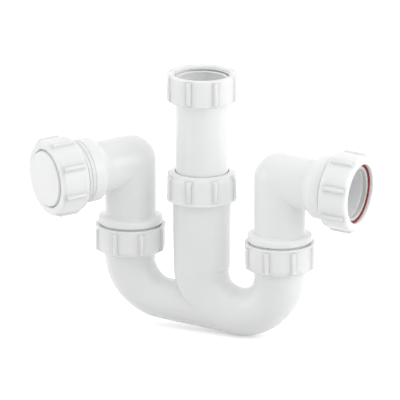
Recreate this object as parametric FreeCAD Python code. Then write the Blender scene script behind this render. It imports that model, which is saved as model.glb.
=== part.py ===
import FreeCAD, Part
import math
import os
from FreeCAD import Vector

# Twin-outlet sink trap in moulded plastic, in millimetres.
# A telescopic inlet tube slides in the centre column. The column runs into a water bend that rises to the
# right arm, and a second arm joins the bend from the left. A swivelling elbow sits on each arm: the right one
# takes the waste pipe, the left one is closed by a blank disc.
# The origin is the centre of the washer face that seals against the sink's waste. +Z is up, +X is to the right.

# Tubes
tube_r = 22.0            # outside of the telescopic tube and of both arms
tube_wall = 2.2
slide_gap = 0.2          # radial room of a tube in its socket
soft_gap = 0.15          # radial room of a rubber ring round a tube
elbow_r = tube_r - 0.4
elbow_wall = 2.3

# Slip nuts on the column and under both elbows
core_wall = 3.3          # from a tube's outside to the top of the male thread's core
nut_play = 1.0           # radial room between a male core and its nut, where the threads mesh
slip_nut_wall = 2.9
slip_core_r = tube_r + core_wall
slip_thread_r = slip_core_r + nut_play
slip_nut_r = slip_thread_r + slip_nut_wall
slip_nut_h = 24.1
slip_nut_band = 0.5      # the smooth band round the open rim stands this far out
slip_hole_gap = 0.6
arm_hole_gap = 1.2       # the swivel nuts' holes are wider, so that they clear the bends when let down
slip_shoulder = 4.0      # rounding of the closed end
slip_washer_t = 1.2
nut_floor = 3.0
seal_stand = 4.0         # how far a rubber seal stands out of its socket mouth
seal_taper = 6.5
seal_reach = 4.5         # how far a slip seal goes down into the socket's conical mouth
mouth_wall = 0.5         # wall left at the rim of that mouth
cone_room = 0.2          # radial room between a rubber ring and the cone it sits in
washer_gap = 0.3
thread_room = 0.4        # radial room of washers and discs inside a nut's thread

# Inlet head and its union nut
seat_depth = 3.9         # rim of the union nut above the washer face
head_r = tube_r + 1.4    # thick head of the telescopic tube, the union nut's floor bears under it
head_room = 0.6
inlet_thread_r = head_r + head_room      # pipe thread of the sink's waste, one and a half inch
inlet_nut_wall = 5.5
inlet_nut_r = inlet_thread_r + inlet_nut_wall
inlet_nut_h = 23.5
inlet_mouth_chamfer = 1.0
inlet_relief = 0.8       # the nut's bore is this much wider below its thread
inlet_rim_band = 0.4     # the smooth band round the rim stands this far out
inlet_washer_t = 2.0
inlet_washer_r = head_r - 0.6
union_hole_gap = 0.5

# Telescopic travel and column
exposed_tube = 61.1      # from the union nut's lower face to the riser nut's upper face
tube_tail = 34.0         # length of tube below the riser nut's upper face
column_step = 0.8        # the column is this much slimmer than its thread core, by radius
column_taper = 0.6
column_top_r = slip_core_r - column_step
column_low_r = column_top_r - column_taper
column_foot = 164.1      # depth of the column's foot, where the water bend starts
column_ledge = 1.2       # the column starts this far inside the riser nut's rim

# Ribs on every nut
rib_count = 8
rib_height = 1.7
rib_base = 3.9
rib_top = 1.7
rib_margin = 1.6         # smooth rim left free of ribs
rib_run_out = 1.4        # how fast a rib's end slopes down

# Water bend and arms
right_arm = 71.3         # distance of the right arm from the column
left_arm = 66.1
right_rise = 5.1         # the water bend turns into the right arm this much above the column's foot
right_foot = column_foot - right_rise
bend_low_r = tube_r - 1.7        # outside radius at the lowest point of the bend
bend_even = 40           # degrees from the right arm at which the bend has its lowest radius
bend_wall = 2.2
left_bend_outer = 55.6   # radius of the outside line of the left arm's bend
left_run_r = tube_r - 4.5        # outside radius of the run that joins the left arm to the bend
left_fall = 4.5          # degrees, the run falls towards the bend
run_inset = 0.3          # the run's lowest line lies this far inside the bend's
spigot_length = 27.5     # from the right arm's foot up to both spigots' ends
spigot_top = right_foot - spigot_length
bore_step = 6.0          # height of the step where the column's bore widens for the telescopic tube
bore_chamfer = 1.0

# Elbows
swivel_rise = 0.5        # the swivel nuts' closed face lies this much above the right arm's foot
swivel_nut_foot = right_foot - swivel_rise
elbow_height = 78.9      # from that face up to the elbows' horizontal axis
elbow_axis = swivel_nut_foot - elbow_height
elbow_fall = 3.4         # degrees, the outlets fall away
left_turn = -126.4       # degrees about +Z from +X, where each outlet points at rest
right_turn = -1.5
flange_r = slip_nut_r - 2.0
flange_height = 25.7     # from the swivel nuts' closed face up to the flange's underside
flange_bottom = swivel_nut_foot - flange_height
flange_edge = 5.3
flange_foot = 1.0        # height of the fillet's base on top of the flange
spigot_room = 2.0        # from a spigot's end to the stop in the elbow

# Outlet sockets of the elbows, measured along the outlet from the elbow's vertical axis
pipe_r = tube_r - 1.5    # waste pipe, 41 mm outside
pipe_gap = 0.25
socket_bore = pipe_r + pipe_gap
socket_stop = 34.0
outlet_mouth = 69.4
seat_cone = 3.6          # conical seat in the socket's mouth
seat_cone_r = socket_bore + 2.6
outlet_core_r = seat_cone_r + 3.45
lead_step = 1.0          # plain start of the outlet's thread core next to the collar
lead_length = 1.2
flare_start = 31.0
flare_length = 6.5
collar_r = outlet_core_r + 0.2
collar_length = 9.3
end_seal_inset = 0.4     # a rubber end ring's edge lies this far inside the outlet's thread core
end_seal_reach = 2.4     # how far it goes into the conical seat

# Outlet nut and cap nut
end_play = 1.1           # radial room between the outlet's core and its nut
end_nut_wall = 4.6
end_thread_r = outlet_core_r + end_play
end_nut_r = end_thread_r + end_nut_wall
end_nut_h = 24.4
end_nut_bevel = 3.0      # rounding between the nut's face and its side
end_nut_taper = 3.2      # the side narrows over this height at the open rear
end_nut_rear_r = end_nut_r - 1.1
end_lip = 3.2
end_lip_r = end_thread_r - 2.8
outlet_stand = 4.8       # the outlet nut's face stands this far past the socket's mouth
outlet_face = outlet_mouth + outlet_stand
cap_stand = 11.1         # the cap nut's face stands further out, with the blank disc behind its lip
cap_face = outlet_mouth + cap_stand
end_washer_t = 0.8

# Blank disc
disc_r = end_lip_r - 1.5         # the part that shows in the nut's opening
disc_proud = 1.5
disc_flange_t = 2.4
disc_dish = 1.0          # depth of the hollow in its back
disc_foot = 5.0          # width of the ring round that hollow

# How far a cutting shape runs past the face that it cuts
cut_over = 1.0

# How far the nuts are turned about their own axes at rest, in degrees
nut_lead = 24.2
left_nut_lead = 20.2
cap_nut_lead = 3.5
outlet_nut_lead = 5.0


def point(r, z):
    return Vector(r, 0, z)


def outline(corners):
    """Closed outline in the XZ plane. A corner is (r, z), or (r, z, rounding)."""
    count = len(corners)
    starts = []
    ends = []
    arcs = []
    for i, corner in enumerate(corners):
        here = point(corner[0], corner[1])
        rounding = corner[2] if len(corner) > 2 else 0
        if not rounding:
            starts.append(here)
            ends.append(here)
            arcs.append(None)
            continue
        before = point(*corners[i - 1][:2]) - here
        after = point(*corners[(i + 1) % count][:2]) - here
        half = before.getAngle(after) / 2
        before.normalize()
        after.normalize()
        reach = rounding / math.tan(half)
        middle = (before + after).normalize()
        centre = here + middle * (rounding / math.sin(half))
        starts.append(here + before * reach)
        ends.append(here + after * reach)
        arcs.append(centre - middle * rounding)
    edges = []
    for i in range(count):
        if arcs[i] is not None:
            edges.append(Part.Arc(starts[i], arcs[i], ends[i]).toShape())
        a = ends[i]
        b = starts[(i + 1) % count]
        if a.distanceToPoint(b) > 1e-6:
            edges.append(Part.makeLine(a, b))
    return Part.Face(Part.Wire(edges))


def turned(corners):
    """Solid of revolution about Z."""
    return outline(corners).revolve(Vector(0, 0, 0), Vector(0, 0, 1), 360)


def disc(r, centre, normal):
    """Circular wire."""
    return Part.Wire(Part.makeCircle(r, centre, normal))


def bend(path, radii):
    """Tube of changing radius through circles: path holds (centre, direction) pairs."""
    sections = [disc(r, centre, direction) for (centre, direction), r in zip(path, radii)]
    return Part.makeLoft(sections, True, False)


def along(shape, turn, fall, x, depth):
    """Place a shape made along +Z so that it lies along an outlet's axis."""
    placed = shape.copy()
    placed.rotate(Vector(0, 0, 0), Vector(0, 1, 0), 90 + fall)
    placed.rotate(Vector(0, 0, 0), Vector(0, 0, 1), turn)
    placed.translate(Vector(x, 0, -depth))
    return placed


def moved(shape, x, z, flip=False, turn=0):
    placed = shape.copy()
    if flip:
        placed.rotate(Vector(0, 0, 0), Vector(1, 0, 0), 180)
    placed.rotate(Vector(0, 0, 0), Vector(0, 0, 1), turn)
    placed.translate(Vector(x, 0, z))
    return placed


def ribs(shell_r, low, high, low_slope, high_slope):
    """Grip ribs round a nut between two heights, as one star to fuse with the shell."""
    sunk = shell_r - 1.0
    top = shell_r + rib_height
    half_base = rib_base / 2
    half_top = rib_top / 2
    corners = [(sunk, -half_base), (shell_r, -half_base), (top, -half_top)]
    corners += [(top, half_top), (shell_r, half_base), (sunk, half_base)]
    section = Part.Face(Part.makePolygon([Vector(x, y, low) for x, y in corners + corners[:1]]))
    bar = section.extrude(Vector(0, 0, high - low))
    envelope = turned([
        (0, low),
        (shell_r - 0.6, low),
        (top + 0.2, low + low_slope),
        (top + 0.2, high - high_slope),
        (shell_r - 0.6, high),
        (0, high),
    ])
    star = []
    for i in range(rib_count):
        rib = bar.copy()
        rib.rotate(Vector(0, 0, 0), Vector(0, 0, 1), (i + 0.5) * 360 / rib_count)
        star.append(rib.common(envelope))
    return star


def inlet_nut():
    """Union nut for the sink's waste. Open rim up, floor at the bottom."""
    rim = seat_depth
    foot = rim - inlet_nut_h
    hole = tube_r + union_hole_gap
    shell = turned([
        (hole, foot),
        (inlet_nut_r, foot, 2.5),
        (inlet_nut_r, rim - 1.6),
        (inlet_nut_r + inlet_rim_band, rim - 1.2),
        (inlet_nut_r + inlet_rim_band, rim, 0.8),
        (inlet_thread_r + inlet_mouth_chamfer, rim),
        (inlet_thread_r, rim - inlet_mouth_chamfer),
        (inlet_thread_r, 0),
        (inlet_thread_r + inlet_relief, -inlet_relief),
        (inlet_thread_r + inlet_relief, foot + nut_floor),
        (hole, foot + nut_floor),
    ])
    star = ribs(inlet_nut_r, foot + 3.4, rim - 0.5, 1.8, 1.0)
    return shell.multiFuse(star).removeSplitter()


def inlet_tube():
    """Telescopic tube with the thick head that the union nut holds."""
    inner = tube_r - tube_wall
    head_top = -inlet_washer_t
    head_foot = seat_depth - inlet_nut_h + nut_floor
    tail = seat_depth - inlet_nut_h - exposed_tube - tube_tail
    return turned([
        (inner, tail),
        (tube_r, tail, 0.8),
        (tube_r, head_foot),
        (head_r, head_foot),
        (head_r, head_top, 0.4),
        (inner, head_top),
    ])


def inlet_washer():
    return turned([
        (tube_r - tube_wall, -inlet_washer_t),
        (inlet_washer_r, -inlet_washer_t),
        (inlet_washer_r, 0, 0.4),
        (tube_r - tube_wall, 0, 0.4),
    ])


def slip_nut(hole):
    """Nut with a closed, rounded end at z = 0 and its open rim at -slip_nut_h."""
    rim = -slip_nut_h
    shell = turned([
        (hole, 0, 0.6),
        (slip_nut_r, 0, slip_shoulder),
        (slip_nut_r, rim + 1.6),
        (slip_nut_r + slip_nut_band, rim + 1.2),
        (slip_nut_r + slip_nut_band, rim),
        (slip_thread_r, rim),
        (slip_thread_r, -nut_floor),
        (hole, -nut_floor),
    ])
    star = ribs(slip_nut_r, rim + rib_margin, -2.4, rib_run_out, 3.2)
    return shell.multiFuse(star).removeSplitter()


def slip_washer(hole):
    """Hard ring under a slip nut's floor, top face at z = -nut_floor."""
    edge = slip_thread_r - thread_room
    top = -nut_floor
    return turned([(hole, top - slip_washer_t), (edge, top - slip_washer_t), (edge, top), (hole, top)])


slip_seal_top = -nut_floor - slip_washer_t
slip_mouth = slip_seal_top - seal_stand      # height of a slip socket's mouth under the nut's closed face


def slip_seal():
    """Rubber ring: straight where it stands out of the socket, conical where it sits in the mouth."""
    hole = tube_r + soft_gap
    edge = slip_core_r - mouth_wall - cone_room
    slope = (slip_core_r - mouth_wall - tube_r - slide_gap) / seal_taper
    low = slip_mouth - seal_reach
    return turned([
        (hole, low),
        (edge - slope * seal_reach, low),
        (edge, slip_mouth),
        (edge, slip_seal_top),
        (hole, slip_seal_top),
    ])


def quarter(foot, side, shrink):
    """Half of the water bend, from a leg's foot to the lowest point. Side is -1 at the column, 1 at the arm.

    The outside line is a quarter ellipse. The tube's radius changes along it, so the inside line follows.
    """
    half = right_arm / 2
    first_r = column_low_r if side < 0 else tube_r
    even = 90 if side < 0 else bend_even
    wide = half + first_r
    deep = column_foot + half + bend_low_r - foot
    path = []
    radii = []
    steps = 7
    for i in range(steps):
        angle = math.pi / 2 * i / (steps - 1)
        narrowed = min(1, math.sin(angle) / math.sin(math.radians(even)))
        r = first_r + (bend_low_r - first_r) * narrowed
        outer = Vector(half + side * wide * math.cos(angle), 0, -foot - deep * math.sin(angle))
        along_line = Vector(-side * wide * math.sin(angle), 0, -deep * math.cos(angle)).normalize()
        inward = Vector(-side * deep * math.cos(angle), 0, wide * math.sin(angle)).normalize()
        path.append((outer + inward * r, along_line))
        radii.append(r - shrink)
    return bend(path, radii)


def main_bend(shrink):
    """The water bend from the column's foot to the right arm, which it meets a little higher."""
    return [quarter(column_foot, -1, shrink), quarter(right_foot, 1, shrink)]


def left_leg(shrink):
    """Left arm's bend and the run that joins the water bend from the left.

    The bend's outside line is one circle while its tube narrows from the arm's size to the run's. The run
    falls towards the water bend, and its lowest line touches that bend's lowest line.
    """
    fall = math.radians(left_fall)
    down = Vector(-math.sin(fall), 0, -math.cos(fall))
    half = right_arm / 2
    main_centre = Vector(half, 0, -column_foot)
    reach = half + bend_low_r - run_inset
    centre_x = left_bend_outer - tube_r - left_arm
    level = down.dot(main_centre) + reach - left_bend_outer
    centre = Vector(centre_x, 0, -(level + math.sin(fall) * centre_x) / math.cos(fall))
    turn = math.pi / 2 - fall
    path = []
    radii = []
    steps = 7
    for i in range(steps):
        angle = turn * i / (steps - 1)
        r = tube_r + (left_run_r - tube_r) * i / (steps - 1)
        outward = Vector(-math.cos(angle), 0, -math.sin(angle))
        path.append((centre + outward * (left_bend_outer - r), Vector(math.sin(angle), 0, -math.cos(angle))))
        radii.append(r - shrink)
    curve = bend(path, radii)
    start = path[-1][0]
    end = main_centre + down * (reach - left_run_r)
    straight = Part.makeCylinder(left_run_r - shrink, start.distanceToPoint(end), start, end - start)
    spigot = Part.makeCylinder(tube_r - shrink, -spigot_top - centre.z, Vector(-left_arm, 0, centre.z))
    return [curve, straight, spigot]


def divided(body):
    """The trap's moulding as seven plain solids that meet on flat planes, so that each one's hollow stays open.

    Level planes part the column and both spigots from the bends. The bends are parted between the column and
    the left arm and at the lowest point of the water bend. The middle one, where the run joins, is halved.
    """
    around = body.BoundBox
    around.enlarge(cut_over)
    arm_level = -(spigot_top + right_foot) / 2
    left_gap = -slip_thread_r
    blocks = []
    for left, right, level, splits in (
        (around.XMin, left_gap, arm_level, []),
        (left_gap, right_arm / 2, -column_foot, [0]),
        (right_arm / 2, around.XMax, arm_level, []),
    ):
        blocks.append((left, right, around.YMin, around.YMax, level, around.ZMax))
        sides = [around.YMin] + splits + [around.YMax]
        for front, back in zip(sides, sides[1:]):
            blocks.append((left, right, front, back, around.ZMin, level))
    pieces = []
    for left, right, front, back, low, high in blocks:
        block = Part.makeBox(right - left, back - front, high - low, Vector(left, front, low))
        pieces += body.common(block).Solids
    return Part.makeCompound(pieces)


def trap_body():
    """Column, water bend and both arms, moulded as one piece."""
    nut_face = seat_depth - inlet_nut_h - exposed_tube
    mouth = nut_face + slip_mouth
    thread_end = nut_face - slip_nut_h + column_ledge
    bore = tube_r + slide_gap
    column = turned([
        (0, -column_foot),
        (column_low_r, -column_foot),
        (column_top_r, thread_end - column_step),
        (slip_core_r, thread_end),
        (slip_core_r, mouth, 0.4),
        (0, mouth),
    ])
    right = Part.makeCylinder(tube_r, right_foot - spigot_top, Vector(right_arm, 0, -right_foot))
    solid = column.multiFuse(main_bend(0) + [right] + left_leg(0))

    low_bore = column_low_r - bend_wall
    bore_foot = bore_step - column_foot
    mouth_r = slip_core_r - mouth_wall
    void = turned([
        (0, -column_foot),
        (low_bore, -column_foot),
        (low_bore, bore_foot - bore_chamfer),
        (bore, bore_foot),
        (bore, mouth - seal_taper),
        (mouth_r, mouth),
        (mouth_r, mouth + cut_over),
        (0, mouth + cut_over),
    ])
    inner = tube_r - bend_wall
    arm_void = Part.makeCylinder(inner, right_foot - spigot_top + cut_over, Vector(right_arm, 0, -right_foot))
    left_open = Part.makeCylinder(inner, 2 * cut_over, Vector(-left_arm, 0, -spigot_top - cut_over))
    inside = void.multiFuse(main_bend(bend_wall) + [arm_void, left_open] + left_leg(bend_wall))
    return divided(solid.cut(inside).removeSplitter())


def elbow():
    """Elbow about its own corner: the leg goes down, the outlet lies along +Z before it is placed."""
    nut_to_axis = swivel_nut_foot - elbow_axis
    mouth = -nut_to_axis - slip_mouth
    flange_low = elbow_axis - flange_bottom
    flange_top = flange_low + flange_edge
    leg = turned([
        (0, mouth),
        (slip_core_r, mouth, 0.4),
        (slip_core_r, flange_low),
        (flange_r, flange_low, 0.4),
        (flange_r, flange_top, 1.0),
        (elbow_r, flange_top + flange_foot, 2.0),
        (elbow_r, 0),
        (0, 0),
    ])
    ball = Part.makeSphere(elbow_r)
    collar_start = flare_start + flare_length
    collar_end = collar_start + collar_length
    outlet = turned([
        (0, 0),
        (elbow_r, 0),
        (elbow_r, flare_start, 4.0),
        (collar_r, collar_start, 3.0),
        (collar_r, collar_end, 0.5),
        (outlet_core_r - lead_step, collar_end),
        (outlet_core_r - lead_step, collar_end + lead_length),
        (outlet_core_r, collar_end + lead_length + lead_step),
        (outlet_core_r, outlet_mouth, 0.6),
        (0, outlet_mouth),
    ])
    outlet = along(outlet, 0, elbow_fall, 0, 0)
    solid = leg.multiFuse([ball, outlet])

    bore = tube_r + slide_gap
    inner = elbow_r - elbow_wall
    stop = elbow_axis - spigot_top + spigot_room
    leg_void = turned([
        (0, mouth - cut_over),
        (slip_core_r - mouth_wall, mouth - cut_over),
        (slip_core_r - mouth_wall, mouth),
        (bore, mouth + seal_taper),
        (bore, stop),
        (inner, stop),
        (inner, 0),
        (0, 0),
    ])
    outlet_void = turned([
        (0, 0),
        (inner, 0),
        (inner, socket_stop),
        (socket_bore, socket_stop),
        (socket_bore, outlet_mouth - seat_cone),
        (seat_cone_r, outlet_mouth),
        (seat_cone_r, outlet_mouth + cut_over),
        (0, outlet_mouth + cut_over),
    ])
    outlet_void = along(outlet_void, 0, elbow_fall, 0, 0)
    inside = leg_void.multiFuse([Part.makeSphere(inner), outlet_void])
    return solid.cut(inside).removeSplitter()


def end_nut(face):
    """Outlet nut or cap nut: face at the far end of the outlet, open rear towards the elbow."""
    rear = face - end_nut_h
    shell = turned([
        (end_lip_r, face, 0.5),
        (end_nut_r, face, end_nut_bevel),
        (end_nut_r, rear + end_nut_taper, 4.0),
        (end_nut_rear_r, rear, 0.5),
        (end_thread_r, rear),
        (end_thread_r, face - end_lip),
        (end_lip_r, face - end_lip),
    ])
    star = ribs(end_nut_r, rear + 2.0, face - 1.6, 2.6, 2.4)
    return shell.multiFuse(star).removeSplitter()


def end_washer(face):
    hole = socket_bore + washer_gap
    edge = end_thread_r - thread_room
    top = face - end_lip
    return turned([(hole, top - end_washer_t), (edge, top - end_washer_t), (edge, top), (hole, top)])


def end_seal(top):
    """Rubber ring in the conical mouth of an outlet socket, up to the piece that presses on it."""
    hole = socket_bore + soft_gap
    edge = outlet_core_r - end_seal_inset
    slope = (seat_cone_r - socket_bore) / seat_cone
    cone_edge = seat_cone_r - cone_room
    low = outlet_mouth - end_seal_reach
    return turned([
        (hole, low),
        (cone_edge - slope * end_seal_reach, low),
        (cone_edge, outlet_mouth),
        (edge, outlet_mouth),
        (edge, top),
        (hole, top),
    ])


def blank_disc():
    """Blank with a face that fills the cap nut's opening and a rim that the nut's lip holds."""
    edge = end_thread_r - thread_room
    face = cap_face + disc_proud
    rim_top = cap_face - end_lip
    back = rim_top - disc_flange_t
    return turned([
        (0, back + disc_dish),
        (edge - disc_foot, back + disc_dish),
        (edge - disc_foot, back),
        (edge, back, 0.4),
        (edge, rim_top, 0.3),
        (disc_r, rim_top),
        (disc_r, face, 0.8),
        (0, face),
    ])


def swivel_side(side, x, turn, elbow_shape, nut_turn):
    """Elbow and swivel joint of one side."""
    arm_hole = tube_r + arm_hole_gap
    nodes = {}
    placed = elbow_shape.copy()
    placed.rotate(Vector(0, 0, 0), Vector(0, 0, 1), turn)
    placed.translate(Vector(x, 0, -elbow_axis))
    nodes[side + "_elbow"] = placed
    foot = -swivel_nut_foot
    nodes[side + "_swivel_nut"] = moved(slip_nut(arm_hole), x, foot, flip=True, turn=nut_turn)
    nodes[side + "_swivel_slip_washer"] = moved(slip_washer(tube_r + washer_gap), x, foot, flip=True)
    nodes[side + "_swivel_seal"] = moved(slip_seal(), x, foot, flip=True)
    return nodes


def build():
    riser_face = seat_depth - inlet_nut_h - exposed_tube
    nodes = {
        "trap_body": trap_body(),
        "inlet_tube": inlet_tube(),
        "inlet_washer": inlet_washer(),
        "inlet_nut": moved(inlet_nut(), 0, 0, turn=nut_lead),
        "riser_nut": moved(slip_nut(tube_r + slip_hole_gap), 0, riser_face, turn=nut_lead),
        "riser_slip_washer": moved(slip_washer(tube_r + washer_gap), 0, riser_face),
        "riser_seal": moved(slip_seal(), 0, riser_face),
    }
    corner = elbow()
    nodes.update(swivel_side("left", -left_arm, left_turn, corner, left_nut_lead))
    nodes.update(swivel_side("right", right_arm, right_turn, corner, nut_lead))
    cap = (left_turn, elbow_fall, -left_arm, elbow_axis)
    out = (right_turn, elbow_fall, right_arm, elbow_axis)
    nodes["cap_nut"] = along(moved(end_nut(cap_face), 0, 0, turn=cap_nut_lead), *cap)
    nodes["blank_disc"] = along(blank_disc(), *cap)
    nodes["blank_seal"] = along(end_seal(cap_face - end_lip - disc_flange_t), *cap)
    nodes["outlet_nut"] = along(moved(end_nut(outlet_face), 0, 0, turn=outlet_nut_lead), *out)
    nodes["outlet_slip_washer"] = along(end_washer(outlet_face), *out)
    nodes["outlet_seal"] = along(end_seal(outlet_face - end_lip - end_washer_t), *out)
    return nodes


os.makedirs("parts", exist_ok=True)
for name, shape in build().items():
    shape.exportStep("parts/" + name + ".step")
    print(name, "solids", len(shape.Solids), "valid", shape.isValid(), "volume", round(shape.Volume, 1))
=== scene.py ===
# %% [markdown]
# # A sink trap in white moulded plastic
#
# The trap hangs under a kitchen sink. Waste water falls down the telescopic tube in the middle, runs through
# the bend at the bottom, which always stays full and keeps smells out, and leaves through a swivelling elbow.
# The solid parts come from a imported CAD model. This script dresses them: it rebuilds the nuts with soft
# moulded ribs and cut threads, smooths the bends, and gives every piece its plastic or rubber finish.
# All sizes are in millimetres and match the CAD. `MM` turns them into Blender's metres in one place.

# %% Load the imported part
import bmesh
import bpy
import math
from mathutils import Matrix, Vector


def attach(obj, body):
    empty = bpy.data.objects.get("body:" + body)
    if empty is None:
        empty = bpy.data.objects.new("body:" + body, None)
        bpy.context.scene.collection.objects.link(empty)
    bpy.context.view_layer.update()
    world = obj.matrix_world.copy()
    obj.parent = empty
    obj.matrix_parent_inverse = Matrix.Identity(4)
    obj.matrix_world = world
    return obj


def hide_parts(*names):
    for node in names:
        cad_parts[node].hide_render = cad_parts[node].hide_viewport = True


MM = 0.001
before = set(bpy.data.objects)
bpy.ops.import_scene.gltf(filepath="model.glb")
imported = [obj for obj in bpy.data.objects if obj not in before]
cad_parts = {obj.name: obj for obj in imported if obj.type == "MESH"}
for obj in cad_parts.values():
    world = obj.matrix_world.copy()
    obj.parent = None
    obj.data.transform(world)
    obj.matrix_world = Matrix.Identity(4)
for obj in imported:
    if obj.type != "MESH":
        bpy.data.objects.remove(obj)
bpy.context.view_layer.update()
print("CAD nodes:", len(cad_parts))

# %% [markdown]
# ## Where things are
#
# The origin is the face of the inlet washer, and +Z points up. Every nut on the trap sits on one of five
# axes: the column, the two arms and the two outlets. A `seat` is the matrix that carries a shape modelled
# about the Z axis onto its own axis. Baking that matrix into the mesh, instead of moving the object, keeps
# each object at the origin like the CAD nodes.

# %% Places of the axes
# Distances are in millimetres and turns in degrees.
RIGHT_ARM = 71.3
LEFT_ARM = -66.1
ELBOW_AXIS = -79.6
OUTLET_FALL = 3.4
LEFT_TURN = -126.4
RIGHT_TURN = -1.5
RISER_FACE = -80.7
SWIVEL_FACE = -158.5


def upright(x, z, lead=0):
    """Seat for a shape that stands on the Z axis, turned by its lead angle."""
    return Matrix.Translation((x, 0, z)) @ Matrix.Rotation(math.radians(lead), 4, "Z")


def hanging(x, z, lead=0):
    """Seat for a shape that is turned upside down. The lead turns it after that."""
    flip = Matrix.Rotation(math.pi, 4, "X")
    return Matrix.Translation((x, 0, z)) @ Matrix.Rotation(math.radians(lead), 4, "Z") @ flip


def outlet(x, turn, lead=0):
    """Seat for a shape on an elbow's outlet, with +Z leading out of the elbow."""
    swing = Matrix.Rotation(math.radians(turn), 4, "Z")
    lay = Matrix.Rotation(math.radians(90 + OUTLET_FALL), 4, "Y")
    return Matrix.Translation((x, 0, ELBOW_AXIS)) @ swing @ lay @ Matrix.Rotation(math.radians(lead), 4, "Z")


# %% [markdown]
# ## Glossy white plastic
#
# Polypropylene and ABS fittings come out of a polished mould, so they are white, slightly translucent and
# glossy, but never perfectly even. Two soft noises in Object coordinates carry that: one shifts the colour by
# a few hundredths over some centimetres, and one changes the roughness a little. A very weak bump gives
# highlights the slight waviness of a moulded wall. Colour and roughness vary, so they are linked. Everything
# that is the same all over is set on the shader's own socket.

# %% Material helpers
BUMP_STRENGTH = 0.25
SCATTER_DISTANCE = 0.006
POLISH_WAVES = 4


def shader(name):
    """New node material: returns the material, its nodes, its links and its Principled shader."""
    material = bpy.data.materials.new(name)
    material.use_nodes = True
    tree = material.node_tree
    return material, tree.nodes, tree.links, tree.nodes["Principled BSDF"]


def noise(nodes, links, place, scale, detail):
    """Noise texture on the piece's own coordinates. Scale is in waves per metre."""
    texture = nodes.new("ShaderNodeTexNoise")
    texture.inputs["Scale"].default_value = scale
    texture.inputs["Detail"].default_value = detail
    links.new(place.outputs["Object"], texture.inputs["Vector"])
    return texture


def ramp(nodes, links, source, low, high, low_at=0.25, high_at=0.75):
    """Colour ramp between two colours. It reads a noise's value."""
    scale = nodes.new("ShaderNodeValToRGB")
    scale.color_ramp.elements[0].position = low_at
    scale.color_ramp.elements[0].color = (*low, 1)
    scale.color_ramp.elements[1].position = high_at
    scale.color_ramp.elements[1].color = (*high, 1)
    links.new(source, scale.inputs["Fac"])
    return scale


def moulded(name, low, high, rough_low, rough_high,
            wave=28, grain=900, grain_depth=0.00002, gloss=0.5, depth=0):
    """Moulded plastic or rubber: slight colour drift, uneven polish and a fine grain.

    Wave and grain are in waves per metre. Depth is how much light scatters under the surface.
    """
    material, nodes, links, surface = shader(name)
    place = nodes.new("ShaderNodeTexCoord")
    drift = noise(nodes, links, place, wave, 3)
    colour = ramp(nodes, links, drift.outputs["Fac"], low, high)
    links.new(colour.outputs["Color"], surface.inputs["Base Color"])
    polish = noise(nodes, links, place, wave * POLISH_WAVES, 4)
    rough = ramp(nodes, links, polish.outputs["Fac"], (rough_low,) * 3, (rough_high,) * 3)
    links.new(rough.outputs["Color"], surface.inputs["Roughness"])
    fine = noise(nodes, links, place, grain, 2)
    bump = nodes.new("ShaderNodeBump")
    bump.inputs["Strength"].default_value = BUMP_STRENGTH
    bump.inputs["Distance"].default_value = grain_depth
    links.new(fine.outputs["Fac"], bump.inputs["Height"])
    links.new(bump.outputs["Normal"], surface.inputs["Normal"])
    surface.inputs["Specular IOR Level"].default_value = gloss
    surface.inputs["Subsurface Weight"].default_value = depth
    surface.inputs["Subsurface Radius"].default_value = (1, 1, 1)
    surface.inputs["Subsurface Scale"].default_value = SCATTER_DISTANCE
    return material


# %% Finishes of the trap
white = moulded("white_plastic", (0.905, 0.918, 0.914), (0.925, 0.935, 0.93), 0.18, 0.26, depth=0.3)
# The cut threads are the same white moulding as the trap. They are unpolished, so rougher, and their darker
# grey is painted shade for the narrow gaps between collar and nut where they show.
core = moulded("thread_plastic", (0.82, 0.83, 0.825), (0.86, 0.865, 0.86), 0.3, 0.42)
ring = moulded("slip_ring_plastic", (0.84, 0.845, 0.835), (0.90, 0.905, 0.895), 0.35, 0.5, depth=0.3)
red = moulded("washer_rubber", (0.17, 0.018, 0.02), (0.28, 0.045, 0.045), 0.5, 0.7,
              wave=90, grain=1500, grain_depth=0.00006, gloss=0.3)
black = moulded("seal_rubber", (0.016, 0.015, 0.015), (0.03, 0.028, 0.028), 0.45, 0.65,
                wave=60, grain=1200, grain_depth=0.00005, gloss=0.35)
pale = moulded("pale_seal_rubber", (0.62, 0.62, 0.60), (0.72, 0.715, 0.69), 0.4, 0.6,
               wave=60, grain=1200, grain_depth=0.00004, gloss=0.4)
print("finishes:", [m.name for m in (white, core, ring, red, black, pale)])

# %% [markdown]
# ## Turned shapes
#
# Nuts, rings and tubes are all round, so each one is an outline turned about its axis. Blender's Screw
# modifier could do it, but writing the rings out in mesh code lets every corner of the outline have its own
# radius, which is what catches the light on a real moulding. A corner is (radius, height) or (radius, height,
# rounding). Edges that stay sharp are marked, so smooth shading stops there.

# %% Outline and lathe helpers
ROUND_STEPS = 5
LATHE_STEPS = 120
ON_AXIS = 1e-6
MERGE = 0.0005
SHARP = math.radians(32)


def outline(corners):
    """Points of a closed outline, with the roundings of its corners drawn as short runs."""
    points = []
    count = len(corners)
    for i, corner in enumerate(corners):
        here = Vector(corner[:2])
        rounding = corner[2] if len(corner) > 2 else 0
        if not rounding:
            points.append(here)
            continue
        before = (Vector(corners[i - 1][:2]) - here).normalized()
        after = (Vector(corners[(i + 1) % count][:2]) - here).normalized()
        half = before.angle(after) / 2
        centre = here + (before + after).normalized() * rounding / math.sin(half)
        start = here + before * rounding / math.tan(half) - centre
        end = here + after * rounding / math.tan(half) - centre
        sweep = start.angle(end)
        for step in range(ROUND_STEPS + 1):
            share = step / ROUND_STEPS
            spoke = (start * math.sin((1 - share) * sweep) + end * math.sin(share * sweep)) / math.sin(sweep)
            points.append(centre + spoke)
    return points


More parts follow.
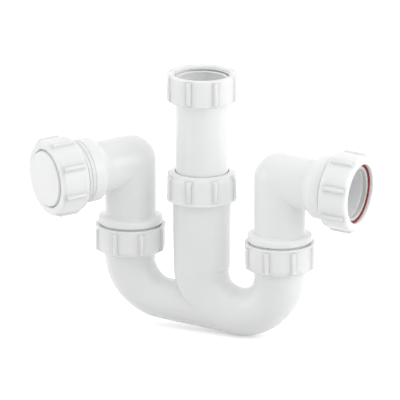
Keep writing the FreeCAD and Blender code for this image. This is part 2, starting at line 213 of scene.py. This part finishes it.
def lathe(corners):
    """Mesh of the outline turned about Z. A point on the axis becomes a single vertex."""
    points = outline(corners)
    turn = [2 * math.pi * i / LATHE_STEPS for i in range(LATHE_STEPS)]
    shape = bmesh.new()
    rings = []
    for point in points:
        if point.x < ON_AXIS:
            rings.append([shape.verts.new((0, 0, point.y))] * LATHE_STEPS)
            continue
        rings.append([shape.verts.new((point.x * math.cos(a), point.x * math.sin(a), point.y)) for a in turn])
    for i, low in enumerate(rings):
        high = rings[(i + 1) % len(rings)]
        for j in range(LATHE_STEPS):
            k = (j + 1) % LATHE_STEPS
            corner_verts = list(dict.fromkeys((low[j], low[k], high[k], high[j])))
            if len(corner_verts) > 2:
                shape.faces.new(corner_verts)
    return shape


def shaded(shape):
    """Smooth shading that stops at the sharp edges."""
    for face in shape.faces:
        face.smooth = True
    for edge in shape.edges:
        if len(edge.link_faces) == 2 and edge.calc_face_angle() > SHARP:
            edge.smooth = False


def linked(name, shape, material):
    """Turns a finished shape into an object at the origin."""
    data = bpy.data.meshes.new(name)
    shape.to_mesh(data)
    shape.free()
    data.materials.append(material)
    piece = bpy.data.objects.new(name, data)
    bpy.context.scene.collection.objects.link(piece)
    return piece


def settle(shape, name, seat, material):
    """Bakes a seat into a shape in millimetres and makes it an object at the origin, in metres."""
    bmesh.ops.remove_doubles(shape, verts=shape.verts, dist=MERGE)
    bmesh.ops.recalc_face_normals(shape, faces=shape.faces)
    shape.transform(Matrix.Scale(MM, 4) @ seat)
    shaded(shape)
    return linked(name, shape, material)


# %% [markdown]
# ## Grip ribs
#
# Eight bars round each nut give wet fingers something to hold. On a moulding they are part of the nut, with
# drafted sides and ends that slope back into the wall. One bar is enough: a Geometry Nodes tree repeats it
# round the nut, with the count as its input, and the result is kept as a plain mesh. The lead angle comes from
# the nut's seat. Each bar is sunk a little into the wall, so no gap can show.

# %% One rib
RIB_COUNT = 8
RIB_HEIGHT = 1.7
RIB_BASE = 8.6
RIB_TOP = 1.6
RIB_SUNK = 2.3
RIB_ROUNDING = 0.45


def rib(shell_r, low, high, low_slope, high_slope):
    """A rib standing on a wall of the given radius, along X, between two heights."""
    shape = bmesh.new()
    run = RIB_HEIGHT + RIB_SUNK
    stations = [
        (low, -RIB_SUNK),
        (low + low_slope, RIB_HEIGHT),
        (high - high_slope, RIB_HEIGHT),
        (high, -RIB_SUNK),
    ]
    rows = []
    for height, lift in stations:
        half = RIB_BASE / 2 - (RIB_BASE - RIB_TOP) / 2 * (lift + RIB_SUNK) / run
        foot = RIB_BASE / 2
        rim = shell_r + lift
        root = shell_r - RIB_SUNK
        rows.append([shape.verts.new(v) for v in (
            (root, -foot, height), (rim, -half, height), (rim, half, height), (root, foot, height))])
    for lower, upper in zip(rows, rows[1:]):
        for i in range(4):
            k = (i + 1) % 4
            shape.faces.new((lower[i], lower[k], upper[k], upper[i]))
    bmesh.ops.remove_doubles(shape, verts=shape.verts, dist=MERGE)
    outer = [e for e in shape.edges if max(v.co.x for v in e.verts) > shell_r + RIB_HEIGHT / 2]
    bmesh.ops.bevel(shape, geom=outer, offset=RIB_ROUNDING, segments=3, affect="EDGES", profile=0.5)
    return settle(shape, "rib", Matrix.Identity(4), white)


# %% Geometry Nodes tree that repeats a rib
def node_input(tree, name, kind, value=None):
    """Adds a named input to a Geometry Nodes group."""
    item = tree.interface.new_socket(name=name, in_out="INPUT", socket_type=kind)
    if value is not None:
        item.default_value = value
    return item


def start_tree(name):
    """Empty Geometry Nodes group with its group input and output nodes."""
    tree = bpy.data.node_groups.new(name, "GeometryNodeTree")
    tree.interface.new_socket(name="Geometry", in_out="OUTPUT", socket_type="NodeSocketGeometry")
    return tree, tree.nodes.new("NodeGroupInput"), tree.nodes.new("NodeGroupOutput")


def maths(tree, operation, first, second=None, third=None):
    """Math node whose inputs are links or numbers. Returns its output."""
    node = tree.nodes.new("ShaderNodeMath")
    node.operation = operation
    for i, value in enumerate((first, second, third)):
        if isinstance(value, (int, float)):
            node.inputs[i].default_value = value
        elif value is not None:
            tree.links.new(value, node.inputs[i])
    return node.outputs[0]


def rib_tree():
    """Joins a nut's shell with copies of a rib, evenly spaced about Z."""
    tree, given, result = start_tree("ribs_round_a_nut")
    node_input(tree, "Geometry", "NodeSocketGeometry")
    node_input(tree, "Rib", "NodeSocketObject")
    node_input(tree, "Count", "NodeSocketInt", RIB_COUNT)
    node_input(tree, "Plastic", "NodeSocketMaterial")
    links = tree.links
    line = tree.nodes.new("GeometryNodeMeshLine")
    line.inputs["Offset"].default_value = (0, 0, 0)
    links.new(given.outputs["Count"], line.inputs["Count"])
    index = tree.nodes.new("GeometryNodeInputIndex")
    step = maths(tree, "DIVIDE", 2 * math.pi, given.outputs["Count"])
    angle = maths(tree, "MULTIPLY", maths(tree, "ADD", index.outputs[0], 0.5), step)
    euler = tree.nodes.new("ShaderNodeCombineXYZ")
    links.new(angle, euler.inputs["Z"])
    turn = tree.nodes.new("FunctionNodeEulerToRotation")
    links.new(euler.outputs[0], turn.inputs[0])
    source = tree.nodes.new("GeometryNodeObjectInfo")
    links.new(given.outputs["Rib"], source.inputs["Object"])
    copies = tree.nodes.new("GeometryNodeInstanceOnPoints")
    links.new(line.outputs["Mesh"], copies.inputs["Points"])
    links.new(source.outputs["Geometry"], copies.inputs["Instance"])
    links.new(turn.outputs[0], copies.inputs["Rotation"])
    real = tree.nodes.new("GeometryNodeRealizeInstances")
    links.new(copies.outputs[0], real.inputs[0])
    join = tree.nodes.new("GeometryNodeJoinGeometry")
    links.new(real.outputs[0], join.inputs[0])
    links.new(given.outputs["Geometry"], join.inputs[0])
    paint = tree.nodes.new("GeometryNodeSetMaterial")
    links.new(join.outputs[0], paint.inputs["Geometry"])
    links.new(given.outputs["Plastic"], paint.inputs["Material"])
    links.new(paint.outputs[0], result.inputs["Geometry"])
    return tree


RIBS = rib_tree()


def grown(piece, tree, values):
    """Runs a Geometry Nodes tree on a piece and keeps the result as its plain mesh."""
    modifier = piece.modifiers.new("growth", "NODES")
    modifier.node_group = tree
    for item in tree.interface.items_tree:
        if item.in_out == "INPUT" and item.name in values:
            modifier[item.identifier] = values[item.name]
    view = bpy.context.evaluated_depsgraph_get()
    data = bpy.data.meshes.new_from_object(piece.evaluated_get(view))
    piece.modifiers.remove(modifier)
    old = piece.data
    piece.data = data
    bpy.data.meshes.remove(old)
    data.name = piece.name
    return piece


def seated(piece, seat):
    """Bakes a seat, given in millimetres, into a finished mesh that is in metres."""
    place = seat.copy()
    place.translation = seat.translation * MM
    piece.data.transform(place)
    return piece


def ribbed(name, corners, ribs, seat):
    """A nut: its turned shell with ribs round it, baked onto its axis."""
    shell = settle(lathe(corners), name, Matrix.Identity(4), white)
    bar = rib(*ribs)
    grown(shell, RIBS, {"Rib": bar, "Count": RIB_COUNT, "Plastic": white})
    bpy.data.objects.remove(bar)
    print(name, "faces:", len(shell.data.polygons))
    return seated(shell, seat)


# %% [markdown]
# ## The union nut at the top
#
# This nut pulls the trap up against the sink's waste. Its open rim shows the wall's thickness, the lead-in of
# the thread and the washer inside, so the outline has all of them. The rim carries a slightly prouder band,
# as on the real nut, where the mould parts. The face that bears on the tube's head stands back by a hair, the
# bearing gap, so that the two don't meet in one plane when the joint is at its limit.

# %% Union nut
UNION_RIM = 3.9
UNION_FOOT = -19.6
UNION_R = 29.5
UNION_HOLE_R = 22.5
UNION_THREAD_R = 24.0
UNION_BAND = 0.4
NUT_FLOOR = 3.0
BEARING_GAP = 0.03

union = ribbed("union_nut", [
    (UNION_HOLE_R, UNION_FOOT, 0.5),
    (UNION_R, UNION_FOOT, 2.5),
    (UNION_R, UNION_RIM - 1.6, 0.2),
    (UNION_R + UNION_BAND, UNION_RIM - 1.2, 0.2),
    (UNION_R + UNION_BAND, UNION_RIM, 0.8),
    (UNION_THREAD_R + 1.0, UNION_RIM, 0.3),
    (UNION_THREAD_R, UNION_RIM - 1.0, 0.3),
    (UNION_THREAD_R, 0),
    (UNION_THREAD_R + 0.8, -0.8),
    (UNION_THREAD_R + 0.8, UNION_FOOT + NUT_FLOOR - BEARING_GAP),
    (UNION_HOLE_R, UNION_FOOT + NUT_FLOOR - BEARING_GAP),
], (UNION_R, UNION_FOOT + 1.2, UNION_RIM - 0.5, 1.6, 1.0), upright(0, 0, 24.2))

# %% [markdown]
# ## Slip nuts
#
# Three alike: one clamps the telescopic tube in the column, and one under each elbow lets it swivel and then
# holds it. One function makes them. The closed end is well rounded and the open rim has a thin band. The two
# under the elbows hang upside down, and their holes are a little wider.

# %% Slip nuts
SLIP_R = 29.2
SLIP_HEIGHT = 24.1
SLIP_SHOULDER = 6.5
SLIP_THREAD_R = 26.3
SLIP_BAND = 0.5
RISER_HOLE_R = 22.6
SWIVEL_HOLE_R = 23.2


def slip_nut(name, hole, seat):
    """Slip nut with its closed end at zero and its rim below."""
    rim = -SLIP_HEIGHT
    return ribbed(name, [
        (hole, 0, 0.6),
        (SLIP_R, 0, SLIP_SHOULDER),
        (SLIP_R, rim + 1.6, 0.2),
        (SLIP_R + SLIP_BAND, rim + 1.2, 0.2),
        (SLIP_R + SLIP_BAND, rim, 0.25),
        (SLIP_THREAD_R, rim, 0.3),
        (SLIP_THREAD_R, -NUT_FLOOR),
        (hole, -NUT_FLOOR),
    ], (SLIP_R, rim + 1.6, -2.2, 1.6, 1.4), seat)


riser_nut = slip_nut("riser_slip_nut", RISER_HOLE_R, upright(0, RISER_FACE, 24.2))
left_nut = slip_nut("left_slip_nut", SWIVEL_HOLE_R, hanging(LEFT_ARM, SWIVEL_FACE, 20.2))
right_nut = slip_nut("right_slip_nut", SWIVEL_HOLE_R, hanging(RIGHT_ARM, SWIVEL_FACE, 24.2))

# %% [markdown]
# ## End nuts
#
# The two big nuts on the elbows are the same moulding. On the right its opening takes the waste pipe, on the
# left a blank disc fills it. The face rolls over into the side with a large soft radius, which is the
# brightest line on the whole trap, so that corner gets the most care.

# %% End nuts
END_R = 32.5
END_HEIGHT = 24.4
END_LIP = 3.2
END_HOLE_R = 25.1
END_REAR_R = 31.4
END_THREAD_R = 27.9
OUTLET_FACE = 74.2
CAP_FACE = 80.5


def end_nut(name, face, seat):
    """Outlet nut with its face at the given distance along the outlet."""
    rear = face - END_HEIGHT
    return ribbed(name, [
        (END_HOLE_R, face, 0.6),
        (END_R, face, 3.0),
        (END_R, rear + 3.2, 4.0),
        (END_REAR_R, rear, 0.5),
        (END_THREAD_R, rear, 0.3),
        (END_THREAD_R, face - END_LIP + BEARING_GAP),
        (END_HOLE_R, face - END_LIP + BEARING_GAP, 0.3),
    ], (END_R, rear + 2.0, face - 1.0, 2.4, 1.8), seat)


cap_nut = end_nut("blank_cap_nut", CAP_FACE, outlet(LEFT_ARM, LEFT_TURN, 3.5))
pipe_nut = end_nut("pipe_nut", OUTLET_FACE, outlet(RIGHT_ARM, RIGHT_TURN, 5.0))

# %% [markdown]
# ## The red washer
#
# Behind the right nut's lip lies the one coloured piece. Only its outer edge shows as a thin red crescent,
# because the pale seal under it comes up inside it, so the visible ring is narrower than the CAD's.

# %% Red washer
WASHER_TOP = OUTLET_FACE - END_LIP
WASHER_FOOT = WASHER_TOP - 0.8
WASHER_HOLE_R = 23.2
WASHER_R = 27.5
red_ring = settle(lathe([
    (WASHER_HOLE_R, WASHER_FOOT),
    (WASHER_R, WASHER_FOOT),
    (WASHER_R, WASHER_TOP),
    (WASHER_HOLE_R, WASHER_TOP, 0.2),
]), "red_washer", outlet(RIGHT_ARM, RIGHT_TURN), red)
print("red washer faces:", len(red_ring.data.polygons))

# %% [markdown]
# ## Threads
#
# A thread is one ridge wound round a core. It could be a curve with a bevel, but a grid bent by a rule is
# lighter and easier to steer: along the grid the ridge climbs the helix, and across it the ridge goes once
# round its own small section. The ridge dies away at both ends, as on a real thread. Screw and nut threads
# use the same tree: the nut's ridge points inwards and sits half a pitch away, so the two mesh without
# touching. A cosine, stretched and cut off, gives the section a flat crest and a root just under the wall.

# %% Geometry Nodes tree for a thread
SECTION_POINTS = 9
ENDS_A_TURN = 6
CREST_STRETCH = 1.5
CREST_ROOT = -0.3
RIDGE_MERGE = 0.000002


def thread_tree():
    """One helical ridge about Z, from the height Low up."""
    tree, given, result = start_tree("thread_ridge")
    node_input(tree, "Geometry", "NodeSocketGeometry")
    node_input(tree, "Core radius", "NodeSocketFloat", 0.025)
    node_input(tree, "Ridge height", "NodeSocketFloat", 0.0008)
    node_input(tree, "Ridge width", "NodeSocketFloat", 0.0015)
    node_input(tree, "Pitch", "NodeSocketFloat", 0.003)
    node_input(tree, "Turns", "NodeSocketFloat", 4.0)
    node_input(tree, "Low", "NodeSocketFloat", 0.0)
    node_input(tree, "Start angle", "NodeSocketFloat", 0.0)
    node_input(tree, "Steps a turn", "NodeSocketInt", 72)
    node_input(tree, "Plastic", "NodeSocketMaterial")
    links = tree.links
    grid = tree.nodes.new("GeometryNodeMeshGrid")
    grid.inputs["Size X"].default_value = 1
    grid.inputs["Size Y"].default_value = 1
    grid.inputs["Vertices Y"].default_value = SECTION_POINTS
    steps = maths(tree, "MULTIPLY", given.outputs["Turns"], given.outputs["Steps a turn"])
    links.new(steps, grid.inputs["Vertices X"])
    position = tree.nodes.new("GeometryNodeInputPosition")
    split = tree.nodes.new("ShaderNodeSeparateXYZ")
    links.new(position.outputs[0], split.inputs[0])
    along = maths(tree, "ADD", split.outputs["X"], 0.5)
    round_section = maths(tree, "MULTIPLY", split.outputs["Y"], 2 * math.pi)
    turned = maths(tree, "MULTIPLY", along, given.outputs["Turns"])
    angle = maths(tree, "MULTIPLY_ADD", turned, 2 * math.pi, given.outputs["Start angle"])
    near_start = maths(tree, "MULTIPLY", turned, ENDS_A_TURN)
    left_over = maths(tree, "SUBTRACT", given.outputs["Turns"], turned)
    near_end = maths(tree, "MULTIPLY", left_over, ENDS_A_TURN)
    fade = maths(tree, "MINIMUM", maths(tree, "MINIMUM", near_start, near_end), 1)
    wave = maths(tree, "MULTIPLY", maths(tree, "COSINE", round_section), CREST_STRETCH)
    crest = maths(tree, "MAXIMUM", maths(tree, "MINIMUM", wave, 1), CREST_ROOT)
    lift = maths(tree, "MULTIPLY", maths(tree, "MULTIPLY", crest, given.outputs["Ridge height"]), fade)
    radius = maths(tree, "ADD", given.outputs["Core radius"], lift)
    half_width = maths(tree, "MULTIPLY", given.outputs["Ridge width"], 0.5)
    side = maths(tree, "MULTIPLY", maths(tree, "SINE", round_section), half_width)
    climb = maths(tree, "MULTIPLY_ADD", turned, given.outputs["Pitch"], given.outputs["Low"])
    place = tree.nodes.new("ShaderNodeCombineXYZ")
    links.new(maths(tree, "MULTIPLY", radius, maths(tree, "COSINE", angle)), place.inputs["X"])
    links.new(maths(tree, "MULTIPLY", radius, maths(tree, "SINE", angle)), place.inputs["Y"])
    links.new(maths(tree, "ADD", climb, side), place.inputs["Z"])
    wind = tree.nodes.new("GeometryNodeSetPosition")
    links.new(grid.outputs["Mesh"], wind.inputs["Geometry"])
    links.new(place.outputs[0], wind.inputs["Position"])
    close = tree.nodes.new("GeometryNodeMergeByDistance")
    close.inputs["Distance"].default_value = RIDGE_MERGE
    links.new(wind.outputs[0], close.inputs["Geometry"])
    real = tree.nodes.new("GeometryNodeRealizeInstances")
    links.new(close.outputs[0], real.inputs[0])
    paint = tree.nodes.new("GeometryNodeSetMaterial")
    links.new(real.outputs[0], paint.inputs["Geometry"])
    links.new(given.outputs["Plastic"], paint.inputs["Material"])
    links.new(paint.outputs[0], result.inputs["Geometry"])
    return tree


THREAD = thread_tree()
THREAD_PITCH = 3.0
PIPE_PITCH = 2.309


# By default a thread takes the cores' finish, whose grey is painted shade of the thread gaps.
def thread(name, seat, core_r, height, width, low, turns, start=0, pitch=THREAD_PITCH, plastic=core):
    """Thread ridge on a core, or in a nut when its height is negative."""
    blank = bpy.data.objects.new(name, bpy.data.meshes.new(name))
    bpy.context.scene.collection.objects.link(blank)
    grown(blank, THREAD, {
        "Core radius": core_r * MM,
        "Ridge height": height * MM,
        "Ridge width": width * MM,
        "Pitch": pitch * MM,
        "Turns": turns,
        "Low": low * MM,
        "Start angle": math.radians(start),
        "Plastic": plastic,
    })
    shape = bmesh.new()
    shape.from_mesh(blank.data)
    bmesh.ops.recalc_face_normals(shape, faces=shape.faces)
    for face in shape.faces:
        face.smooth = True
    shape.to_mesh(blank.data)
    shape.free()
    return seated(blank, seat)


# %% Threads on the slip cores and in the slip nuts
SLIP_CORE_R = 25.3
SLIP_TURNS = 4.5
SLIP_START = -23.0
CORE_RIDGE = (0.75, 1.5)
NUT_RIDGE = (-0.7, 1.4)

slip_pairs = []
for side, seat in (
    ("riser", upright(0, RISER_FACE)),
    ("left", hanging(LEFT_ARM, SWIVEL_FACE)),
    ("right", hanging(RIGHT_ARM, SWIVEL_FACE)),
):
    between = SLIP_START + THREAD_PITCH / 2
    male = thread(side + "_core_thread", seat, SLIP_CORE_R, *CORE_RIDGE, SLIP_START, SLIP_TURNS)
    female = thread(side + "_nut_thread", seat, SLIP_THREAD_R, *NUT_RIDGE, between, SLIP_TURNS, plastic=white)
    slip_pairs.append((male, female))

# %% [markdown]
# The outlets' threads are long, and their nuts stand at different heights on them. A nut's ridge starts at the
# first place behind its rear edge that lies half a pitch from the core's ridge.

# %% Threads on the outlets, in their nuts and in the union nut
OUTLET_CORE_R = 26.8
OUTLET_TURNS = 6
OUTLET_START = 49.2
NUT_LEAD_IN = 0.9
END_NUT_TURNS = 3.6

outlet_pairs = []
for side, face, seat in (
    ("cap", CAP_FACE, outlet(LEFT_ARM, LEFT_TURN)),
    ("pipe", OUTLET_FACE, outlet(RIGHT_ARM, RIGHT_TURN)),
):
    between = OUTLET_START + THREAD_PITCH / 2
    inside = face - END_HEIGHT + NUT_LEAD_IN
    first = between + THREAD_PITCH * math.ceil((inside - between) / THREAD_PITCH)
    male = thread(side + "_core_thread", seat, OUTLET_CORE_R, *CORE_RIDGE, OUTLET_START, OUTLET_TURNS)
    female = thread(side + "_nut_thread", seat, END_THREAD_R, *NUT_RIDGE, first, END_NUT_TURNS, plastic=white)
    outlet_pairs.append((male, female))

union_thread = thread("union_thread", upright(0, 0), UNION_THREAD_R, height=-1.0, width=1.3, low=-0.5,
                      turns=1.35, start=130, pitch=PIPE_PITCH, plastic=white)
print("threads:", 2 * len(slip_pairs) + 2 * len(outlet_pairs) + 1)

# %% [markdown]
# ## Bends and elbows
#
# The water bend and the elbows come from the CAD as loose triangles. Their shape is right, so a copy is
# enough: its vertices are merged, and smooth shading then runs over the whole wall and only stops at real
# edges. Remodelling them by hand would add nothing but error. The trap's moulding is stored as seven solids
# that meet on flat planes, so the faces on those planes, which lie inside the wall, are taken out first. The
# two sides of such a plane can have their vertices at different places, which would leave an open seam. So
# each open edge is split at the other side's vertices, and both sides merge into one wall. The column's side
# is also eased outwards a little, by `EASE` at most, just under its foot, where the water bend turns off.

# %% Helpers for the trap's moulding
ARM_LEVEL = -145.25
COLUMN_FOOT = -164.1
JOINT_PLANES = (
    ("z", ARM_LEVEL),
    ("z", COLUMN_FOOT),
    ("x", -SLIP_THREAD_R),
    ("x", RIGHT_ARM / 2),
    ("y", 0),
)
ON_PLANE = 0.002
EASE = 1.5
EASE_DEPTH = 13
EASE_REACH = 30
SEAM_REACH = 0.05
CAD_MERGE = 0.00001


def on_joint(face):
    """Whether a face lies on one of the planes where the moulding's solids meet."""
    for axis, level in JOINT_PLANES:
        if all(abs(getattr(v.co, axis) / MM - level) < ON_PLANE for v in face.verts):
            return True
    return False


def eased(shape):
    """Lets the column's side run straight down a little further before the water bend turns off."""
    for vert in shape.verts:
        depth = (COLUMN_FOOT - vert.co.z / MM) / EASE_DEPTH
        if 0 < depth < 1 and 0 < vert.co.x / MM < EASE_REACH:
            side = vert.co.x / vert.co.xy.length
            vert.co.x += EASE * MM * side ** 2 * math.sin(math.pi * depth) ** 2


def zipped(shape):
    """Closes the open seams of a shape by giving both sides of each the same vertices."""
    seam = [edge for edge in shape.edges if edge.is_boundary]
    opened = len(seam)
    stops = list({vert for edge in seam for vert in edge.verts})
    for stop in stops:
        for edge in list(seam):
            start, end = (vert.co for vert in edge.verts)
            run = end - start
            share = (stop.co - start).dot(run) / run.length_squared
            if stop in edge.verts or not 0 < share < 1:
                continue
            if (start + run * share - stop.co).length < SEAM_REACH * MM:
                part, middle = bmesh.utils.edge_split(edge, edge.verts[0], share)
                middle.co = stop.co
                seam.append(part)
    bmesh.ops.remove_doubles(shape, verts=shape.verts, dist=CAD_MERGE)
    bmesh.ops.triangulate(shape, faces=[face for face in shape.faces if len(face.verts) > 3])
    print("open edges:", opened, "before,", sum(edge.is_boundary for edge in shape.edges), "after")


# %% Smooth copies of the CAD bodies
def smoothed(name, node, joined=False):
    """Merged, smooth copy of a CAD node that stands for it."""
    shape = bmesh.new()
    shape.from_mesh(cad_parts[node].data)
    if joined:
        inner = [face for face in shape.faces if on_joint(face)]
        bmesh.ops.delete(shape, geom=inner, context="FACES")
        eased(shape)
    bmesh.ops.remove_doubles(shape, verts=shape.verts, dist=CAD_MERGE)
    if joined:
        zipped(shape)
    shaded(shape)
    piece = linked(name, shape, white)
    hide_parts(node)
    print(name, "faces:", len(piece.data.polygons))
    return piece


trap = smoothed("trap_moulding", "trap_body", joined=True)
left_elbow = smoothed("blank_elbow", "left_elbow")
right_elbow = smoothed("pipe_elbow", "right_elbow")
tube = smoothed("telescopic_tube", "inlet_tube")
blank_face = smoothed("blank_plate", "blank_disc")

# %% Finish the CAD nodes that stay
for node, finish in {
    "inlet_washer": ring,
    "riser_slip_washer": ring,
    "left_swivel_slip_washer": ring,
    "right_swivel_slip_washer": ring,
    "riser_seal": black,
    "left_swivel_seal": black,
    "right_swivel_seal": black,
    "blank_seal": pale,
    "outlet_seal": pale,
}.items():
    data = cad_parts[node].data
    data.materials.clear()
    data.materials.append(finish)

# %% [markdown]
# ## What moves with what
#
# Each new piece rides on a body of the CAD model, so it turns and slides with it. A nut's inner thread rides
# with the nut, and a core's thread with the tube or elbow that carries it.

# %% Ride on the bodies
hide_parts("inlet_nut")
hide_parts("riser_nut")
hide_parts("left_swivel_nut")
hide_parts("right_swivel_nut")
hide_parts("cap_nut")
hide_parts("outlet_nut")
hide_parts("outlet_slip_washer")
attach(red_ring, "outlet_ring")

riders = {
    "trap": [trap, slip_pairs[0][0]],
    "inlet": [tube],
    "union": [union, union_thread],
    "riser_clamp": [riser_nut, slip_pairs[0][1]],
    "left_outlet": [left_elbow, slip_pairs[1][0], outlet_pairs[0][0]],
    "left_clamp": [left_nut, slip_pairs[1][1]],
    "blank": [blank_face],
    "cap": [cap_nut, outlet_pairs[0][1]],
    "right_outlet": [right_elbow, slip_pairs[2][0], outlet_pairs[1][0]],
    "right_clamp": [right_nut, slip_pairs[2][1]],
    "outlet_clamp": [pipe_nut, outlet_pairs[1][1]],
}
for body, members in riders.items():
    for piece in members:
        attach(piece, body)

# %% [markdown]
# ## Floor and background
#
# The trap is shown on plain white, as in a catalogue. The floor is an ordinary matt white that takes the
# object's shadow. For the camera and in reflections it also glows a little, so that it reaches full white
# without any more light falling on the plastic.

# %% Floor
FLOOR = -220.1
FLOOR_HALF = 8
FLOOR_GREY = 0.8
FLOOR_GLOW = 0.45
floor_shape = bmesh.new()
bmesh.ops.create_grid(floor_shape, x_segments=1, y_segments=1, size=FLOOR_HALF)
bmesh.ops.translate(floor_shape, verts=floor_shape.verts, vec=(0, 0, FLOOR * MM))
floor_data = bpy.data.meshes.new("floor")
floor_shape.to_mesh(floor_data)
floor_shape.free()
floor = bpy.data.objects.new("floor", floor_data)
bpy.context.scene.collection.objects.link(floor)

floor_paint, nodes, links, surface = shader("floor_white")
nodes.remove(surface)
matt = nodes.new("ShaderNodeBsdfDiffuse")
matt.inputs["Color"].default_value = (FLOOR_GREY, FLOOR_GREY, FLOOR_GREY, 1)
glow = nodes.new("ShaderNodeEmission")
ray = nodes.new("ShaderNodeLightPath")
seen = nodes.new("ShaderNodeMath")
seen.operation = "MAXIMUM"
links.new(ray.outputs["Is Camera Ray"], seen.inputs[0])
links.new(ray.outputs["Is Glossy Ray"], seen.inputs[1])
dimmed = nodes.new("ShaderNodeMath")
dimmed.operation = "MULTIPLY"
dimmed.inputs[1].default_value = FLOOR_GLOW
links.new(seen.outputs[0], dimmed.inputs[0])
links.new(dimmed.outputs[0], glow.inputs["Strength"])
both = nodes.new("ShaderNodeAddShader")
links.new(matt.outputs[0], both.inputs[0])
links.new(glow.outputs[0], both.inputs[1])
links.new(both.outputs[0], nodes["Material Output"].inputs["Surface"])
floor_data.materials.append(floor_paint)

# %% [markdown]
# ## Light
#
# White plastic needs light that wraps round it but is not the same from all sides, or every tube turns flat.
# Two large soft lamps stand to the right of the camera. A third, on the left, draws the bright left edges and
# the glow on the blank's face. A weaker one stands high in front, and the room fills the rest.

# %% Camera directions
AZIMUTH = 24.15
ELEVATION = 16.05
TARGET = Vector((0, 0, -96.1)) * MM
DISTANCE = 6.0


def around(azimuth, elevation):
    """Unit vector from the object towards a place at these angles. Zero azimuth is the side that faces -Y."""
    a = math.radians(azimuth)
    e = math.radians(elevation)
    return Vector((math.sin(a) * math.cos(e), -math.cos(a) * math.cos(e), math.sin(e)))


def softbox(name, azimuth, elevation, distance, size, power):
    """Square area lamp that looks at the trap. Its azimuth is counted from the camera's."""
    lamp = bpy.data.lights.new(name, "AREA")
    lamp.shape = "SQUARE"
    lamp.size = size
    lamp.energy = power
    stand = bpy.data.objects.new(name, lamp)
    bpy.context.scene.collection.objects.link(stand)
    direction = around(AZIMUTH + azimuth, elevation)
    stand.location = TARGET + direction * distance
    stand.rotation_euler = direction.to_track_quat("Z", "Y").to_euler()


# %% Lamps
softbox("key_right", azimuth=48, elevation=24, distance=1.7, size=1.2, power=7.5)
softbox("side_right", azimuth=84, elevation=12, distance=1.7, size=1.2, power=3.5)
softbox("rim_left", azimuth=-80, elevation=16, distance=1.6, size=1.1, power=4.5)
softbox("high_front", azimuth=0, elevation=55, distance=1.9, size=1.2, power=4.0)
print("lamps:", [thing.name for thing in bpy.data.lights])

# %% [markdown]
# The room is a light tent: its walls beside and behind the trap are brighter than the open side, where the
# camera stands. That keeps the tubes' edges bright and their fronts a shade darker, as in the photograph.

# %% Room light
ROOM_SIDE = 0.95
ROOM_FRONT = 0.2
world = bpy.data.worlds.new("studio")
bpy.context.scene.world = world
world.use_nodes = True
nodes = world.node_tree.nodes
links = world.node_tree.links
fill = nodes["Background"]
ray = nodes.new("ShaderNodeLightPath")
seen = nodes.new("ShaderNodeMath")
seen.operation = "MAXIMUM"
links.new(ray.outputs["Is Camera Ray"], seen.inputs[0])
either = nodes.new("ShaderNodeMath")
either.operation = "MAXIMUM"
links.new(ray.outputs["Is Glossy Ray"], either.inputs[0])
links.new(ray.outputs["Is Transmission Ray"], either.inputs[1])
links.new(either.outputs[0], seen.inputs[1])
toward = nodes.new("ShaderNodeTexCoord")
facing = nodes.new("ShaderNodeVectorMath")
facing.operation = "DOT_PRODUCT"
facing.inputs[1].default_value = around(AZIMUTH, 0)
links.new(toward.outputs["Generated"], facing.inputs[0])
level = nodes.new("ShaderNodeMapRange")
gradient = nodes.new("ShaderNodeMapRange")
gradient.inputs["To Min"].default_value = ROOM_SIDE
gradient.inputs["To Max"].default_value = ROOM_FRONT
links.new(facing.outputs["Value"], gradient.inputs["Value"])
links.new(gradient.outputs["Result"], level.inputs["To Min"])
level.inputs["To Max"].default_value = 1.0
links.new(seen.outputs[0], level.inputs["Value"])
fill.inputs["Color"].default_value = (1, 1, 1, 1)
links.new(level.outputs["Result"], fill.inputs["Strength"])

# %% [markdown]
# ## Camera
#
# A long lens from six metres keeps the verticals almost parallel, as in the photograph. The eye and the aim
# move together by a few millimetres, to put the trap where it sits in the frame.

# %% Camera
PIXELS_PER_MM = 1.19
FRAME_PIXELS = 400
FILM = 36
FAR_END = 50
MOVED_LEFT = 1.62
MOVED_DOWN = 10.05
eye_data = bpy.data.cameras.new("camera")
eye_data.sensor_width = FILM
eye_data.lens = FILM * DISTANCE / MM * PIXELS_PER_MM / FRAME_PIXELS
eye_data.clip_end = FAR_END
eye = bpy.data.objects.new("camera", eye_data)
bpy.context.scene.collection.objects.link(eye)
back = around(AZIMUTH, ELEVATION)
eye.rotation_euler = back.to_track_quat("Z", "Y").to_euler()
right = eye.rotation_euler.to_matrix() @ Vector((1, 0, 0))
up = eye.rotation_euler.to_matrix() @ Vector((0, 1, 0))
eye.location = TARGET + back * DISTANCE - right * MOVED_LEFT * MM - up * MOVED_DOWN * MM
bpy.context.scene.camera = eye
bpy.context.scene.view_settings.view_transform = "Standard"
